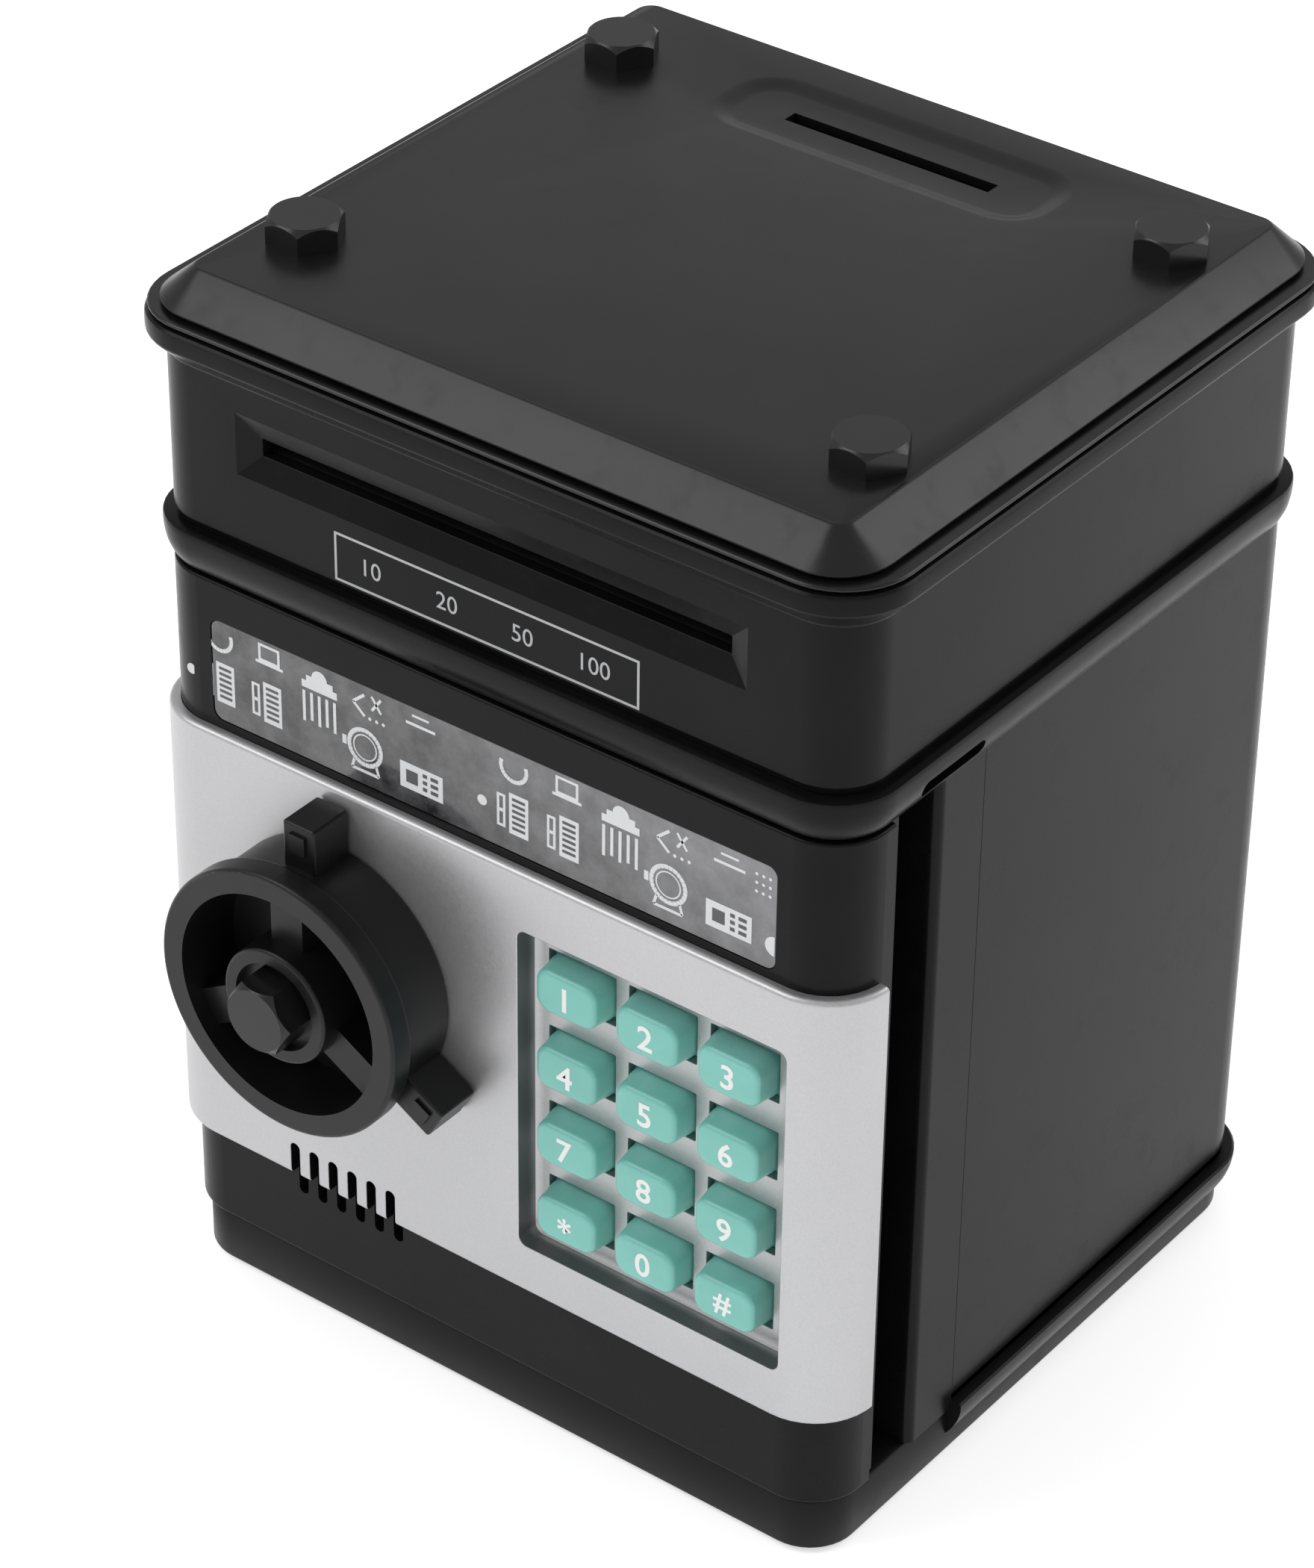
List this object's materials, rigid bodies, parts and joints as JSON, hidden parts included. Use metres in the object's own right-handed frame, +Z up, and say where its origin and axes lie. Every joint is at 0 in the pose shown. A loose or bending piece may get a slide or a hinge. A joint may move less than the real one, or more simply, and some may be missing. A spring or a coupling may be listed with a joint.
{
  "type": "coin bank",
  "caption": "Toy cash-machine savings bank: black cabinet with a hinged keypad door, dial knob, note feeder head and slotted coin lid.",
  "frame": {"origin": "bottom centre of the overall box, on the plane of the rubber feet", "axes": "+Z up, the door faces -Y, the hinge side is +X"},
  "size_m": [0.1362, 0.145, 0.1878],
  "materials": {
    "black_plastic": "semi-gloss moulded",
    "plinth_plastic": "fine-textured moulded",
    "inner_plastic": "moulded",
    "silver_paint": "satin silver lacquer on plastic",
    "knob_plastic": "satin moulded",
    "bolt_plastic": "satin moulded",
    "window_gloss": "gloss printed",
    "key_mint": "satin moulded, printed",
    "rubber_black": "matt",
    "mat_rubber": "matt",
    "cell_wrap": "plain sleeve",
    "steel": "plain",
    "gear_plastic": "natural moulded",
    "circuit_board": "lacquered board",
    "speaker_grey": "plain"
  },
  "bodies": {
    "cabinet": {"base_plinth": "plinth_plastic", "rubber_feet": "rubber_black", "battery_cells": "cell_wrap", "battery_tray": "inner_plastic", "battery_contacts": "steel", "battery_door": "plinth_plastic", "battery_screw": "steel", "vault_floor": "inner_plastic", "cabinet_shell": "black_plastic", "hinge_post": "black_plastic", "vault_deck": "black_plastic", "hinge_pins": "steel", "strike_plate": "steel", "head_shell": "black_plastic", "lid_cover": "black_plastic", "lid_bolts": "bolt_plastic", "coin_chute": "inner_plastic", "note_guide": "inner_plastic", "note_cover": "inner_plastic", "feed_motor": "steel", "motor_strap": "steel", "head_board": "circuit_board"},
    "door": {"door_shell": "black_plastic", "door_panel": "silver_paint", "window_strip": "window_gloss", "keypad_mat": "mat_rubber", "keypad_board": "circuit_board", "speaker": "speaker_grey", "door_cover": "inner_plastic", "door_screws": "steel", "latch_housing": "inner_plastic", "lock_solenoid": "steel"},
    "knob": {"knob_wheel": "knob_plastic", "knob_bolt": "bolt_plastic", "knob_shaft": "steel", "latch_pinion": "gear_plastic"},
    "bolt": {"latch_bolt": "gear_plastic"},
    "plunger": {"lock_plunger": "steel"},
    "drive_roller": {"roller_shaft": "steel", "roller_tyres": "rubber_black", "drive_gear": "gear_plastic"},
    "idler": {"idler_roller": "gear_plastic"},
    "pinion": {"motor_pinion": "gear_plastic"},
    "key_1": {"key_1": "key_mint"},
    "key_2": {"key_2": "key_mint"},
    "key_3": {"key_3": "key_mint"},
    "key_4": {"key_4": "key_mint"},
    "key_5": {"key_5": "key_mint"},
    "key_6": {"key_6": "key_mint"},
    "key_7": {"key_7": "key_mint"},
    "key_8": {"key_8": "key_mint"},
    "key_9": {"key_9": "key_mint"},
    "key_star": {"key_star": "key_mint"},
    "key_0": {"key_0": "key_mint"},
    "key_hash": {"key_hash": "key_mint"}
  },
  "joints": [
    {"name": "door_swing", "type": "hinge", "parent": "cabinet", "child": "door", "pos_m": [0.0595, -0.036, 0.0113], "axis": [0, 0, 1], "range_deg": [0, 90]},
    {"name": "knob_turn", "type": "hinge", "parent": "door", "child": "knob", "pos_m": [-0.0277, -0.0674, 0.076], "axis": [0, -1, 0], "range_deg": [0, 60]},
    {"name": "bolt_slide", "type": "slide", "parent": "door", "child": "bolt", "axis": [-1, 0, 0], "range_m": [0, 0.00628]},
    {"name": "plunger_slide", "type": "slide", "parent": "door", "child": "plunger", "axis": [0, 0, 1], "range_m": [0, 0.0025], "stiffness_N_per_m": 40, "springref_m": -0.001},
    {"name": "roller_spin", "type": "hinge", "parent": "cabinet", "child": "drive_roller", "pos_m": [0, -0.0304, 0.1541], "axis": [1, 0, 0], "continuous": true},
    {"name": "pinion_spin", "type": "hinge", "parent": "cabinet", "child": "pinion", "pos_m": [0, -0.01528, 0.1485], "axis": [1, 0, 0], "continuous": true},
    {"name": "idler_spin", "type": "hinge", "parent": "cabinet", "child": "idler", "pos_m": [0, -0.0304, 0.1649], "axis": [1, 0, 0], "continuous": true},
    {"name": "key_1_press", "type": "slide", "parent": "door", "child": "key_1", "axis": [0, 1, 0], "range_m": [0, 0.0015], "stiffness_N_per_m": 120, "springref_m": -0.0004},
    {"name": "key_2_press", "type": "slide", "parent": "door", "child": "key_2", "axis": [0, 1, 0], "range_m": [0, 0.0015], "stiffness_N_per_m": 120, "springref_m": -0.0004},
    {"name": "key_3_press", "type": "slide", "parent": "door", "child": "key_3", "axis": [0, 1, 0], "range_m": [0, 0.0015], "stiffness_N_per_m": 120, "springref_m": -0.0004},
    {"name": "key_4_press", "type": "slide", "parent": "door", "child": "key_4", "axis": [0, 1, 0], "range_m": [0, 0.0015], "stiffness_N_per_m": 120, "springref_m": -0.0004},
    {"name": "key_5_press", "type": "slide", "parent": "door", "child": "key_5", "axis": [0, 1, 0], "range_m": [0, 0.0015], "stiffness_N_per_m": 120, "springref_m": -0.0004},
    {"name": "key_6_press", "type": "slide", "parent": "door", "child": "key_6", "axis": [0, 1, 0], "range_m": [0, 0.0015], "stiffness_N_per_m": 120, "springref_m": -0.0004},
    {"name": "key_7_press", "type": "slide", "parent": "door", "child": "key_7", "axis": [0, 1, 0], "range_m": [0, 0.0015], "stiffness_N_per_m": 120, "springref_m": -0.0004},
    {"name": "key_8_press", "type": "slide", "parent": "door", "child": "key_8", "axis": [0, 1, 0], "range_m": [0, 0.0015], "stiffness_N_per_m": 120, "springref_m": -0.0004},
    {"name": "key_9_press", "type": "slide", "parent": "door", "child": "key_9", "axis": [0, 1, 0], "range_m": [0, 0.0015], "stiffness_N_per_m": 120, "springref_m": -0.0004},
    {"name": "key_star_press", "type": "slide", "parent": "door", "child": "key_star", "axis": [0, 1, 0], "range_m": [0, 0.0015], "stiffness_N_per_m": 120, "springref_m": -0.0004},
    {"name": "key_0_press", "type": "slide", "parent": "door", "child": "key_0", "axis": [0, 1, 0], "range_m": [0, 0.0015], "stiffness_N_per_m": 120, "springref_m": -0.0004},
    {"name": "key_hash_press", "type": "slide", "parent": "door", "child": "key_hash", "axis": [0, 1, 0], "range_m": [0, 0.0015], "stiffness_N_per_m": 120, "springref_m": -0.0004}
  ],
  "couplings": [
    {"joint": "bolt_slide", "follows": "knob_turn", "m_per_rad": 0.006},
    {"joint": "pinion_spin", "follows": "roller_spin", "ratio": -3}
  ]
}
